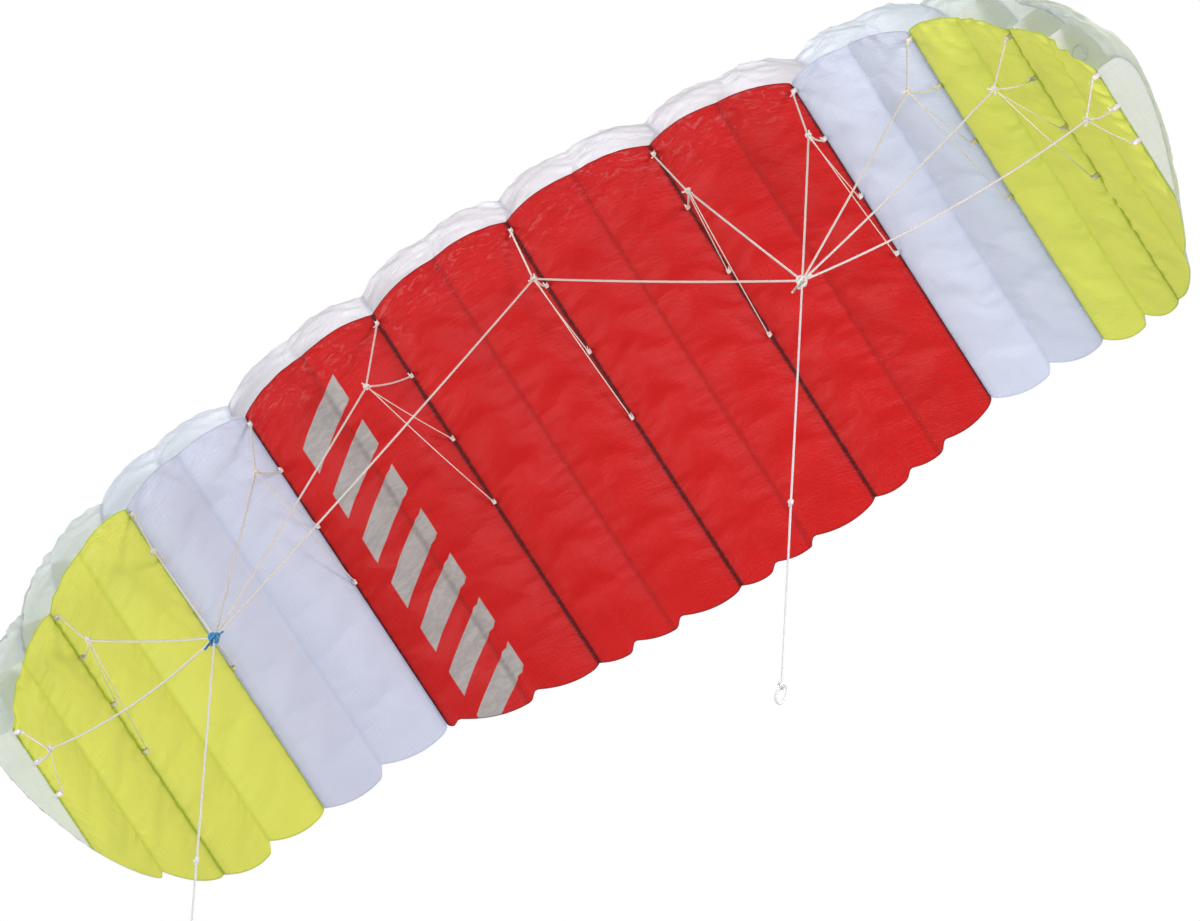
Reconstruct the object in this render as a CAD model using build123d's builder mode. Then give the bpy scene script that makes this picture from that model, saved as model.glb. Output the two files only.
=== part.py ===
from build123d import *
import os
from math import cos, radians, sin

# Two-line ram-air foil kite: an inflated canopy of twenty sewn cells with no spars,
# held in shape by its ribs and by a fan of bridle lines that runs down to two tow points.
# Millimetres. +X along the span to the kite's right, +Y from leading to trailing edge, +Z up.
# The origin is the lower leading edge of the centre rib.

# ---------------------------------------------------------------- driving dimensions
CELLS_PER_SIDE = 10
CELL_WIDTH = 90.0
TIP_TILT = 70.0  # how far the span has curled down at the tip, degrees
# one value per rib, from the centre rib to the tip rib
RIB_SET_BACK = (0, -8, 9, 4, 23, 11, 21, 22, 47, 60, 99)
RIB_CHORD = (490, 494, 471, 461, 418, 422, 403, 389, 347, 280, 156)
RIB_HEIGHT_BASE = 18.0  # rib height = base + share * chord
RIB_HEIGHT_SHARE = 0.115
NOSE_LEAD = 0.035  # the upper skin's nose stands this share of the chord ahead
SKIN = 0.8  # stand-in thickness of the coated fabric
SEAM_GAP = 0.4
BULGE = 8.0  # how far a skin balloons between two ribs
NOSE_BULGE = 5.0
RIB_CLOTH = 1.0
FOLD_RIB = 6  # the wing tip folds along this rib
FOLD_GAP = 0.3
NOSE_CUTS = (-0.01, 0.06)  # shares of the chord where the upper skin is cut near its nose
CLOTH_GAP = 0.3  # width of those cuts, and between the upper skin of one cell and the next

TAB_SHARES = (0.02, 0.17, 0.35, 0.53)  # bridle tabs along a rib's chord
TIP_TAB_SHARES = (0.03, 0.28, 0.55)
TAB_LENGTH = 6.0
TAB_DROP = 8.0
TAB_CLOTH = 1.2
LOADED_RIBS = (0, 2, 4, 6, 8, 10)
GATHER_DEPTH = (59, 142, 130, 121, 100, 55)  # bridle knot below the skin, per loaded rib
GATHER_SHARE = (0.12, 0.08, 0.08, 0.08, 0.08, 0.19)  # and its place along the chord
CASCADE_DIAMETERS = (2.2, 2.2, 1.2, 1.2)  # the rear two lines carry little and are thin
CASCADE_SPREAD = 0.85
GATHER_RADIUS = 2.8

TOW_X = 347.0
TOW_Y = 31.0
TOW_DEPTH = 917.0
TOW_KNOT_RADIUS = 7.0
TOW_KNOT_LENGTH = 16.0
TOW_REACH = 13.0  # the main lines end this far from the tow point, clear of each other
MAIN_DIAMETER = 2.4
LINE_LEAN = 0.033  # the flying lines close in by this much per unit of drop
LINE_DIAMETER = 2.2
LEADER_LENGTH = 788.0
FLYING_LENGTH = 560.0
LINE_KNOT_RADIUS = 3.2
LINE_KNOT_LENGTH = 8.0
LOOP_LENGTH = 46.0
LOOP_WIDTH = 14.0
LINE_GAP = 0.3
MAIN_GAP = 1.0

os.makedirs("parts", exist_ok=True)


# ---------------------------------------------------------------- the canopy's geometry
def cell_tilt(cell):
    """Tilt of one cell across the span, growing smoothly from the centre to the tip."""
    t = (cell + 0.5) / CELLS_PER_SIDE
    return TIP_TILT * t * t * (3 - 2 * t)


RIB_X = [0.0]
RIB_Z = [0.0]
for cell in range(CELLS_PER_SIDE):
    RIB_X.append(RIB_X[-1] + CELL_WIDTH * cos(radians(cell_tilt(cell))))
    RIB_Z.append(RIB_Z[-1] - CELL_WIDTH * sin(radians(cell_tilt(cell))))


def between(values, place):
    """The value at a place counted in ribs from the centre, straight between two ribs."""
    inner = min(int(place), CELLS_PER_SIDE - 1)
    return values[inner] + (values[inner + 1] - values[inner]) * (place - inner)


def tilt_at(place):
    """Tilt of the rib plane, or of the plane through the middle of a cell."""
    if place != int(place):
        return cell_tilt(int(place))
    if place == 0:
        return 0.0
    if place == CELLS_PER_SIDE:
        return cell_tilt(CELLS_PER_SIDE - 1)
    return (cell_tilt(int(place) - 1) + cell_tilt(int(place))) / 2


def station(place, shift=0.0):
    """Chordwise plane at a signed place along the span: local X aft, local Y up, normal to +X."""
    side = -1 if place < 0 else 1
    tilt = radians(tilt_at(abs(place))) * side
    outward = Vector(cos(tilt), 0, -sin(tilt))
    corner = Vector(side * between(RIB_X, abs(place)), between(RIB_SET_BACK, abs(place)),
                    between(RIB_Z, abs(place)))
    return Plane(origin=corner + outward * (shift * side), x_dir=(0, 1, 0), z_dir=outward)


def rib_height(chord):
    return RIB_HEIGHT_BASE + RIB_HEIGHT_SHARE * chord


def upper_curve(chord, inset, bulge):
    """Points of the upper skin from nose to tail, moved in by inset and out by bulge."""
    height = rib_height(chord)
    out = bulge - inset
    return [
        (-NOSE_LEAD * chord - 0.6 * bulge + inset, 0.5 * height),
        (0.03 * chord - 0.6 * out, 0.84 * height + 0.8 * out),
        (0.28 * chord, height + out),
        (0.62 * chord, 0.66 * height + 0.8 * bulge - inset),
        (chord, 2 * SKIN + 0.2 - inset),
    ]


def lower_curve(chord, lift, bulge):
    """Points of the lower skin from its open leading edge to the tail."""
    nose = NOSE_BULGE * bulge / BULGE
    return [
        (-nose, -0.6 * nose + lift),
        (0.35 * chord, -bulge + lift),
        (0.7 * chord, -0.7 * bulge + lift),
        (chord, lift),
    ]


def skin_panel(curve, first, last, trim_first=0.0, trim_last=0.0):
    """One thin panel lofted over every rib and every ballooned mid-cell from first to last."""
    steps = int(2 * (last - first))
    with BuildPart() as panel:
        for step in range(steps + 1):
            place = first + step / 2
            at_rib = step % 2 == 0
            bulge = 0.0 if at_rib else BULGE
            chord = between(RIB_CHORD, abs(place))
            shift = trim_first if step == 0 else trim_last if step == steps else 0.0
            with BuildSketch(station(place, shift)):
                with BuildLine():
                    outer = Spline(*curve(chord, 0.0, bulge))
                    inner = Spline(*curve(chord, SKIN, bulge))
                    Line(outer @ 0, inner @ 0)
                    Line(outer @ 1, inner @ 1)
                make_face()
        loft(ruled=True)
    return panel


def upper_cloths(first, last):
    """The upper skin in one piece to a cell, each cut twice near its nose.

    A real skin runs on over the ribs and round the nose. It is divided here so that each solid
    is only slightly curved, and a convex outline of it leaves the open intakes free.
    """
    with BuildPart() as cloths:
        for cell in range(first, last):
            # positive trims lead away from the centre of the span
            inner = CLOTH_GAP / 2 if abs(min(cell, cell + 1, key=abs)) != FOLD_RIB else FOLD_GAP
            outer = -CLOTH_GAP / 2
            if cell < 0:
                centre_gap = -CLOTH_GAP / 2 if cell == -1 else inner
                panel = skin_panel(upper_curve, cell, cell + 1, outer, centre_gap)
            else:
                panel = skin_panel(upper_curve, cell, cell + 1, inner, outer)
            middle = abs(cell + 0.5)
            with BuildPart() as cut:
                add(panel.part)
                for share in NOSE_CUTS:
                    cut_at = between(RIB_SET_BACK, middle) + share * between(RIB_CHORD, middle)
                    with BuildSketch(Plane(origin=(0, cut_at, 0), z_dir=(0, 1, 0))):
                        Rectangle(2000, 2000)
                    extrude(amount=CLOTH_GAP, mode=Mode.SUBTRACT)
            add(cut.part)
    return cloths


def save(piece, name):
    piece.part.label = name
    export_step(piece.part, f"parts/{name}.step")
    print(name, "solids", len(piece.part.solids()), "volume", round(piece.part.volume))


# ---------------------------------------------------------------- skins
# The seams of the two tip panels are trimmed so that the fold opens and never binds.
save(skin_panel(lower_curve, -4, 4), "lower_skin_red")
save(skin_panel(lower_curve, 4, FOLD_RIB), "lower_skin_white_right")
save(skin_panel(lower_curve, -FOLD_RIB, -4), "lower_skin_white_left")
save(skin_panel(lower_curve, FOLD_RIB, 10, trim_first=FOLD_GAP), "lower_skin_yellow_right")
save(skin_panel(lower_curve, -10, -FOLD_RIB, trim_last=FOLD_GAP), "lower_skin_yellow_left")
save(upper_cloths(-FOLD_RIB, FOLD_RIB), "upper_skin_center")
save(upper_cloths(FOLD_RIB, 10), "upper_skin_right_tip")
save(upper_cloths(-10, -FOLD_RIB), "upper_skin_left_tip")


# ---------------------------------------------------------------- ribs
def rib(place):
    """Sewn-in cloth rib with three crossports, inside the skins by the seam gap."""
    chord = RIB_CHORD[abs(place)]
    height = rib_height(chord)
    floor = SKIN + SEAM_GAP
    top = upper_curve(chord, SKIN + SEAM_GAP, 0.0)[:4]
    tail = (chord - 12, floor + 0.6)
    at_tip = abs(place) == CELLS_PER_SIDE
    # a tip rib closes the last cell, so its cloth lies just inside the skins' ends
    shift = -RIB_CLOTH / 2 if at_tip else 0.0
    ports = [] if at_tip else [(0.12, 0.42, 0.17), (0.34, 0.5, 0.24), (0.57, 0.38, 0.17)]
    with BuildPart() as cloth:
        with BuildSketch(station(place, shift)):
            with BuildLine():
                crown = Spline(*top, tail)
                Polyline(crown @ 1, (1.0, floor), crown @ 0)
            make_face()
            for along, up, radius in ports:
                with Locations((along * chord, up * height)):
                    Circle(radius * height, mode=Mode.SUBTRACT)
        extrude(amount=RIB_CLOTH / 2, both=True)
    return cloth


def side_name(place):
    return "left" if place < 0 else "right"


for place in range(-CELLS_PER_SIDE, CELLS_PER_SIDE + 1):
    name = f"rib_{side_name(place)}_{abs(place)}" if place else "rib_center"
    save(rib(place), name)


# ---------------------------------------------------------------- bridle tabs
def tab_shares(place):
    return TIP_TAB_SHARES if abs(place) == CELLS_PER_SIDE else TAB_SHARES


def tabs(places):
    """Small folded webbing tabs sewn under the loaded ribs."""
    with BuildPart() as webbing:
        for place in places:
            chord = RIB_CHORD[abs(place)]
            with BuildSketch(station(place)):
                for share in tab_shares(place):
                    with Locations((share * chord, -LINE_GAP - TAB_DROP / 2)):
                        RectangleRounded(TAB_LENGTH, TAB_DROP, 1.5)
            extrude(amount=TAB_CLOTH / 2, both=True)
    return webbing


save(tabs((-6, -4, -2, 0, 2, 4, 6)), "bridle_tabs_center")
save(tabs((-10, -8)), "bridle_tabs_left_tip")
save(tabs((8, 10)), "bridle_tabs_right_tip")


# ---------------------------------------------------------------- bridle
def tow_point(side):
    return Vector(side * TOW_X, TOW_Y, -TOW_DEPTH)


def gather_aim(place):
    """Direction, across the span, in which the lines of one rib run down."""
    if place == 0:
        return Vector(0, 0, -1)
    reach = tow_point(-1 if place < 0 else 1) - station(place).origin
    return Vector(reach.X, 0, reach.Z).normalized()


def gather_point(place):
    """Where the lines of one rib are knotted together, on the way to the tow point."""
    order = LOADED_RIBS.index(abs(place))
    aft = Vector(0, GATHER_SHARE[order] * RIB_CHORD[abs(place)], 0)
    return station(place).origin + aft + gather_aim(place) * GATHER_DEPTH[order]


def line_work(runs, knots=()):
    """Straight taut runs of line, and round knots, as one piece of work."""
    with BuildPart() as work:
        for centre, radius in knots:
            with Locations(centre):
                Sphere(radius)
        for start, end, diameter in runs:
            with BuildSketch(Plane(origin=start, z_dir=end - start)):
                Circle(diameter / 2)
            extrude(amount=(end - start).length)
    return work


def cascade(place):
    """The short lines from one rib's tabs down to the knot that gathers them."""
    plane = station(place)
    knot = gather_point(place)
    sideways = gather_aim(place).cross(Vector(0, 1, 0))
    runs = []
    for order, share in enumerate(tab_shares(place)):
        diameter = CASCADE_DIAMETERS[order]
        tab_foot = -TAB_DROP - 2 * LINE_GAP - diameter / 2
        foot = plane.from_local_coords(Vector(share * RIB_CHORD[abs(place)], tab_foot, 0))
        # neighbours leave the knot side by side, so that they never run through each other
        beside = sideways * (CASCADE_SPREAD if order % 2 else -CASCADE_SPREAD)
        aim = (foot - knot).normalized()
        runs.append((knot + beside + aim * (GATHER_RADIUS + LINE_GAP), foot, diameter))
    return line_work(runs, knots=[(knot, GATHER_RADIUS)])


def main_lines(places, side):
    """Main bridle lines from one tow point to the knots of the given ribs."""
    tow = tow_point(side)
    runs = []
    for place in places:
        knot = gather_point(side * place)
        aim = (knot - tow).normalized()
        start = tow + aim * TOW_REACH
        end = knot - aim * (GATHER_RADIUS + MAIN_GAP)
        runs.append((start, end, MAIN_DIAMETER))
    return line_work(runs)


for place in range(-10, 11, 2):
    name = f"bridle_cascade_{side_name(place)}_{abs(place)}" if place else "bridle_cascade_center"
    save(cascade(place), name)

for side, word in ((-1, "left"), (1, "right")):
    save(main_lines((0, 2, 4, 6), side), f"main_lines_{word}")
    save(main_lines((8,), side), f"main_line_{word}_8")
    save(main_lines((10,), side), f"main_line_{word}_10")


# ---------------------------------------------------------------- flying lines
def barrel_knot(centre, along, radius, length):
    """A wound knot as a rounded barrel; the line below it swings about the barrel's axis."""
    with BuildPart() as knot:
        with BuildSketch(Plane(origin=centre, z_dir=along)):
            Circle(radius)
        extrude(amount=length / 2, both=True)
        fillet(knot.edges().filter_by(GeomType.CIRCLE), radius / 3)
    return knot


def end_loop(end, down):
    """The knotted loop at the end of a line: a racetrack of line in the plane of the span."""
    bend = (LOOP_WIDTH - LINE_DIAMETER) / 2
    straight = LOOP_LENGTH - LOOP_WIDTH
    across = Vector(-down.Z, 0, down.X)
    top = end + down * (LINE_KNOT_RADIUS + LINE_GAP + LOOP_WIDTH / 2)
    with BuildPart() as loop:
        with Locations(end):
            Sphere(LINE_KNOT_RADIUS)
        for centre, turn in ((top, -180), (top + down * straight, 180)):
            with BuildSketch(Plane(origin=centre, x_dir=across, z_dir=down)):
                with Locations((bend, 0)):
                    Circle(LINE_DIAMETER / 2)
            revolve(axis=Axis(centre, (0, 1, 0)), revolution_arc=turn)
        for offset in (-bend, bend):
            with BuildSketch(Plane(origin=top + across * offset, z_dir=down)):
                Circle(LINE_DIAMETER / 2)
            extrude(amount=straight)
    return loop


def flying_pieces(side, word):
    """Tow knot, leader, joining knot, flying line and end loop, hanging from one tow point."""
    tow = tow_point(side)
    down = Vector(-side * LINE_LEAN, 0, -1).normalized()
    joint = tow + down * LEADER_LENGTH
    end = joint + down * FLYING_LENGTH
    leader_run = (tow + down * (TOW_KNOT_RADIUS + LINE_GAP), joint - down * LINE_KNOT_RADIUS)
    flying_run = (joint + down * (LINE_KNOT_RADIUS + LINE_GAP), end - down * LINE_KNOT_RADIUS)
    save(barrel_knot(tow, (1, 0, 0), TOW_KNOT_RADIUS, TOW_KNOT_LENGTH), f"tow_knot_{word}")
    save(line_work([(*leader_run, LINE_DIAMETER)]), f"leader_{word}")
    save(barrel_knot(joint, (0, 1, 0), LINE_KNOT_RADIUS, LINE_KNOT_LENGTH), f"leader_knot_{word}")
    save(line_work([(*flying_run, LINE_DIAMETER)]), f"flying_line_{word}")
    save(end_loop(end, down), f"end_loop_{word}")


flying_pieces(-1, "left")
flying_pieces(1, "right")
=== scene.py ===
from math import cos, pi, sin

import bpy
import numpy as np
from mathutils import Matrix, Vector


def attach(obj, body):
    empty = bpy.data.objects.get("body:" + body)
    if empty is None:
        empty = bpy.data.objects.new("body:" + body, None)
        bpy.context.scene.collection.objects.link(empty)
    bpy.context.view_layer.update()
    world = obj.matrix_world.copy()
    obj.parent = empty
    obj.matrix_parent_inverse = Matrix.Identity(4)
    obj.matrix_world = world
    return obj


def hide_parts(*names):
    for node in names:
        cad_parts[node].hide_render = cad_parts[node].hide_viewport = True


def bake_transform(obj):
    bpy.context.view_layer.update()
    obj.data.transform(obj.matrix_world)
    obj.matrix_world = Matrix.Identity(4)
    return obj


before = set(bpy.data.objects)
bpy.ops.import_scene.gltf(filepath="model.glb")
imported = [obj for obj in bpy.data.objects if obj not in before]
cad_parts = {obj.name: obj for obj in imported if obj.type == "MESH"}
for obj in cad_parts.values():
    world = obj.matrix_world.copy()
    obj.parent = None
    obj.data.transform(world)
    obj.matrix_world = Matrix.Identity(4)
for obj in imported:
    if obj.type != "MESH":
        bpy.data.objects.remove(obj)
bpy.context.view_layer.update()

# A two-line ram-air foil kite in flight: cloth skins filled with air over cloth ribs, webbing tabs, a
# knotted bridle, two leaders and two flying lines. A rib's place is its count outwards from the centre,
# below 0 on the left. Lengths are in metres, and shares are of the chord unless a comment says otherwise.
CELLS = 10  # to a side
CELL_WIDTH = 0.09
FOLD_RIB = 6  # a tip folds up along this rib
COLUMNS = 14  # strips of cloth mesh across one cell
LOWER_ROWS = 88
UPPER_ROWS = 92
LOADED = (0, 2, 4, 6, 8, 10)  # ribs with bridle tabs
BALLOON = 0.0082  # how far a skin bulges between two ribs
NOSE_FORWARD = 0.003  # how far the open edge bows forward between two ribs
Y_AXIS = np.array((0.0, 1.0, 0.0))

TAB_SHARES = (0.02, 0.17, 0.35, 0.53)
TIP_TAB_SHARES = (0.03, 0.28, 0.55)
# each loaded rib's knot, measured from the rib's front corner
GATHER_DEPTH = (0.059, 0.142, 0.130, 0.121, 0.100, 0.055)
GATHER_SHARE = (0.12, 0.08, 0.08, 0.08, 0.08, 0.19)
CASCADE_RADII = (0.0011, 0.0011, 0.0006, 0.0006)  # one to each row of tabs
MAIN_RADIUS = 0.0012
LINE_RADIUS = 0.0011
TOW_RADIUS = 0.0014  # the cord tied into the tow knots
GATHER_KNOT, TAB_KNOT, LEADER_KNOT, END_KNOT = 0.0029, 0.0013, 0.0020, 0.0028  # the knots' sizes
# the two tow points, left and right, where the bridle is gathered
TOW = {-1: np.array((-0.347, 0.031, -0.917)), 1: np.array((0.347, 0.031, -0.917))}
LINE_LEAN = 0.033  # how far the lines draw together below the tow points, to one of their length
LINE_SLACK = 0.001  # a loaded line still bows this much
LEADER_LENGTH = 0.788
LEADER_START = 0.008  # inside the tow knot
FLYING_LENGTH = 0.560

SIDES = {-1: "left", 1: "right"}


def unit(vector):
    return vector / np.linalg.norm(vector)


def side_of(place):
    return -1 if place < 0 else 1


def line_down(side):
    """The way a side's leader and flying line run from the tow point."""
    return unit(np.array((-side * LINE_LEAN, 0.0, -1.0)))


# ---------------------------------------------------------------- camera
CAMERA_PLACE = (1.350, -1.829, -9.532)
CAMERA_RIGHT = (0.8464, 0.5324, 0.0069)
CAMERA_FORWARD = (-0.1426, 0.2142, 0.9663)


def make_camera():
    """A long lens below the kite, looking up at its lower skin."""
    right = Vector(CAMERA_RIGHT).normalized()
    forward = Vector(CAMERA_FORWARD).normalized()
    up = right.cross(forward)
    right = forward.cross(up)
    data = bpy.data.cameras.new("camera")
    data.sensor_width = 36.0
    data.lens = 268.1
    data.clip_start, data.clip_end = 0.1, 400.0
    camera = bpy.data.objects.new("camera", data)
    turn = Matrix((right, up, -forward)).transposed().to_4x4()
    camera.matrix_world = Matrix.Translation(CAMERA_PLACE) @ turn
    bpy.context.scene.collection.objects.link(camera)
    bpy.context.scene.camera = camera


make_camera()


# ---------------------------------------------------------------- where the ribs stand
NEAR = 2e-4  # vertices this close to an extreme lie on it
EDGE_DOWN, EDGE_FRONT, EDGE_BACK = 0.0012, 0.001, 0.012
LEAST_HEIGHT, HEIGHT_SHARE = 0.018, 0.115


def rib_word(place):
    return f"{SIDES[side_of(place)]}_{abs(place)}" if place else "center"


def rib_node(place):
    return f"rib_{rib_word(place)}"


def measure_rib(place):
    """Lower front corner, up direction, chord and height of a rib, measured on its CAD node.

    The cloth reaches past the node below, ahead and aft, by EDGE_DOWN, EDGE_FRONT and EDGE_BACK.
    """
    points = np.array([v.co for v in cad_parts[rib_node(place)].data.vertices], float)
    flat = points[:, [0, 2]]
    lean = np.linalg.svd(flat - flat.mean(0), full_matrices=False)[2][0]
    lean = lean if lean[1] > 0 else -lean
    up = np.array((lean[0], 0.0, lean[1]))
    level = points @ up
    low = points[level < level.min() + NEAR]
    front = low[low[:, 1] < low[:, 1].min() + NEAR].mean(0)
    corner = front - EDGE_DOWN * up - EDGE_FRONT * Y_AXIS
    chord = points[:, 1].max() + EDGE_BACK - corner[1]
    return corner, up, chord, LEAST_HEIGHT + HEIGHT_SHARE * chord


PLACES = range(-CELLS, CELLS + 1)
RIBS = {place: measure_rib(place) for place in PLACES}


def gather_aim(place):
    """The way from a rib's front corner to its knot: towards the tow point, seen from the front."""
    corner = RIBS[place][0]
    if place == 0:
        return np.array((0.0, 0.0, -1.0))
    reach = TOW[side_of(place)] - corner
    return unit(np.array((reach[0], 0.0, reach[2])))


def gather_point(place):
    """Where the lines from one loaded rib's tabs are tied together."""
    order = LOADED.index(abs(place))
    corner, _, chord, _ = RIBS[place]
    return corner + GATHER_SHARE[order] * chord * Y_AXIS + gather_aim(place) * GATHER_DEPTH[order]


# ---------------------------------------------------------------- mesh helpers
def mesh_object(name, vertices, faces, material=None, smooth=True):
    data = bpy.data.meshes.new(name)
    data.from_pydata([tuple(map(float, v)) for v in vertices], [], faces)
    data.update()
    if smooth:
        data.polygons.foreach_set("use_smooth", [True] * len(data.polygons))
    made = bpy.data.objects.new(name, data)
    bpy.context.scene.collection.objects.link(made)
    if material:
        data.materials.append(material)
    return made


STRANDS = 3


def sweep(points, radius, pitch=0.009, depth=0.16, sides=12, step=0.0022):
    """Vertices and faces of a twisted cord laid along the points."""
    points = np.asarray(points, float)
    lengths = np.r_[0, np.cumsum(np.linalg.norm(np.diff(points, axis=0), axis=1))]
    count = max(4, int(lengths[-1] / step) + 1)
    at = np.linspace(0, lengths[-1], count)
    line = np.stack([np.interp(at, lengths, points[:, k]) for k in range(3)], axis=1)
    along = np.gradient(line, axis=0)
    along /= np.linalg.norm(along, axis=1)[:, None]
    side = np.cross(along[0], (0.31, 0.77, 0.55))
    across = []
    for tangent in along:
        side = unit(side - tangent * (side @ tangent))
        across.append(side)
    across = np.array(across)
    other = np.cross(along, across)
    angle = np.linspace(0, 2 * pi, sides, endpoint=False)
    twist = (2 * pi * at / pitch)[:, None]
    swell = radius * (1 - depth * (0.5 - 0.5 * np.cos(STRANDS * angle[None, :] - twist)))
    ring = (swell * np.cos(angle))[..., None] * across[:, None] \
        + (swell * np.sin(angle))[..., None] * other[:, None]
    vertices = list((line[:, None] + ring).reshape(-1, 3))
    faces = []
    for k in range(count - 1):
        for j in range(sides):
            a, b = k * sides + j, k * sides + (j + 1) % sides
            faces.append((a, b, b + sides, a + sides))
    for end, order in ((0, -1), (count - 1, 1)):
        vertices.append(line[end])  # the middle of an end cap
        middle = len(vertices) - 1
        for j in range(sides):
            pair = (end * sides + j, end * sides + (j + 1) % sides)
            faces.append((*pair[::order], middle))
    return vertices, faces


def grid_faces(wide, rows):
    """The vertices' numbers in a grid of cloth, and its square faces."""
    index = np.arange(wide * rows).reshape(wide, rows)
    corners = (index[:-1, :-1], index[1:, :-1], index[1:, 1:], index[:-1, 1:])
    return index, np.stack(corners, axis=-1).reshape(-1, 4).tolist()


def store_facts(data, facts):
    """Keeps one number per vertex for each fact, for the cloth's material to read."""
    for key, values in facts.items():
        data.attributes.new(key, "FLOAT", "POINT").data.foreach_set(
            "value", values.astype(np.float32).ravel())


def fine_sweep(points, radius):
    """A cord bent tightly, as in a knot."""
    return sweep(points, radius, pitch=0.006, step=0.0009)


def joined(parts):
    """Several (vertices, faces) pairs as one."""
    vertices, faces = [], []
    for more, shape in parts:
        base = len(vertices)
        vertices += list(more)
        faces += [tuple(base + k for k in face) for face in shape]
    return vertices, faces


def spline_points(route):
    """Points along the smooth line that a cord's route controls."""
    curve = bpy.data.curves.new("route", "CURVE")
    curve.dimensions = "3D"
    curve.resolution_u = 16
    spline = curve.splines.new("NURBS")
    spline.points.add(len(route) - 1)
    for point, place in zip(spline.points, route):
        point.co = (*map(float, place), 1.0)
    spline.order_u = 3
    spline.use_endpoint_u = True
    carrier = bpy.data.objects.new("route", curve)
    line = bpy.data.meshes.new_from_object(carrier)
    points = np.array([v.co for v in line.vertices], float)
    bpy.data.objects.remove(carrier)
    bpy.data.curves.remove(curve)
    bpy.data.meshes.remove(line)
    return points


def sagging(start, end, sag, drop=(0.0, 0.25, -1.0)):
    """A line held at its two ends, with a slight slack bow."""
    middle = (start + end) / 2 + unit(np.array(drop)) * 2 * sag
    return spline_points((start, middle, end))


def frame_about(along):
    """Two directions square to along."""
    first = unit(np.cross(along, (0.2, 0.93, 0.3)))
    return first, np.cross(along, first)


def overhand(centre, along, size, radius, tails=()):
    """A tied knot: a closed over-and-under turn of line, a trefoil, with short tails.

    A tail is its angle about the knot, its length and its rise along the line.
    """
    along = unit(np.asarray(along, float))
    first, second = frame_about(along)
    t = np.linspace(0, 2 * pi, 91)
    reach = size * (0.62 + 0.38 * np.cos(3 * t))
    path = centre + (reach * np.cos(2 * t))[:, None] * first \
        + (reach * np.sin(2 * t))[:, None] * second \
        + (size * 0.62 * np.sin(3 * t))[:, None] * along
    parts = [fine_sweep(path, radius)]
    for angle, length, rise in tails:
        out = first * cos(angle) + second * sin(angle)
        stub = unit(out + along * rise)
        bend = unit(out * 0.5 + along * rise * 1.6 + second * 0.35)
        elbow = centre + stub * length * 0.55
        parts.append(fine_sweep([centre, elbow, elbow + bend * length * 0.45], radius * 0.92))
    return joined(parts)


# ---------------------------------------------------------------- materials
def node_material(name):
    material = bpy.data.materials.new(name)
    material.use_nodes = True
    tree = material.node_tree
    tree.nodes.clear()
    return material, tree


def add_node(tree, kind, **inputs):
    made = tree.nodes.new(kind)
    for key, value in inputs.items():
        made.inputs[key].default_value = value
    return made


def math_node(tree, operation, *values):
    """One operation on sockets and numbers."""
    made = tree.nodes.new("ShaderNodeMath")
    made.operation = operation
    for slot, value in enumerate(values):
        if isinstance(value, float):
            made.inputs[slot].default_value = value
        else:
            tree.links.new(value, made.inputs[slot])
    return made.outputs[0]


def times(tree, *values):
    return math_node(tree, "MULTIPLY", *values)


def plus(tree, *values):
    return math_node(tree, "ADD", *values)


def distance_from(tree, value, middle):
    return math_node(tree, "ABSOLUTE", math_node(tree, "SUBTRACT", value, middle))


def ramp(tree, value, low, high, out_low=0.0, out_high=1.0):
    """A smooth step from out_low to out_high, as value goes from low to high."""
    made = tree.nodes.new("ShaderNodeMapRange")
    made.interpolation_type = "SMOOTHSTEP"
    tree.links.new(value, made.inputs["Value"])
    ends = {"From Min": low, "From Max": high, "To Min": out_low, "To Max": out_high}
    for key, number in ends.items():
        made.inputs[key].default_value = number
    return made.outputs["Result"]


def tinted(tree, amount, first, second):
    """A colour between two, each a socket or an RGB triple."""
    made = tree.nodes.new("ShaderNodeMix")
    made.data_type = "RGBA"
    tree.links.new(amount, made.inputs["Factor"])
    for key, value in ((6, first), (7, second)):
        if isinstance(value, tuple):
            made.inputs[key].default_value = (*value, 1.0)
        else:
            tree.links.new(value, made.inputs[key])
    return made.outputs[2]


def shade(colour, strength):
    return tuple(min(1, strength * c) for c in colour)


def attribute(tree, name):
    made = tree.nodes.new("ShaderNodeAttribute")
    made.attribute_name = name
    return made.outputs["Fac"]


RIPSTOP_PITCH = 0.005
WEAVE = 9000.0  # radians of the plain weave to a metre
STITCHES = 260.0  # to a metre


def woven(tree, span, chord):
    """The ripstop grid, and a finer plain weave between its threads."""
    lines = []
    for way in (span, chord):
        cycle = math_node(tree, "FRACT", times(tree, way, 1 / RIPSTOP_PITCH))
        lines.append(ramp(tree, distance_from(tree, cycle, 0.5), 0.36, 0.46))
    weave = times(tree, math_node(tree, "SINE", times(tree, span, WEAVE)),
                  math_node(tree, "SINE", times(tree, chord, WEAVE)))
    return math_node(tree, "MAXIMUM", *lines), weave


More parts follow.
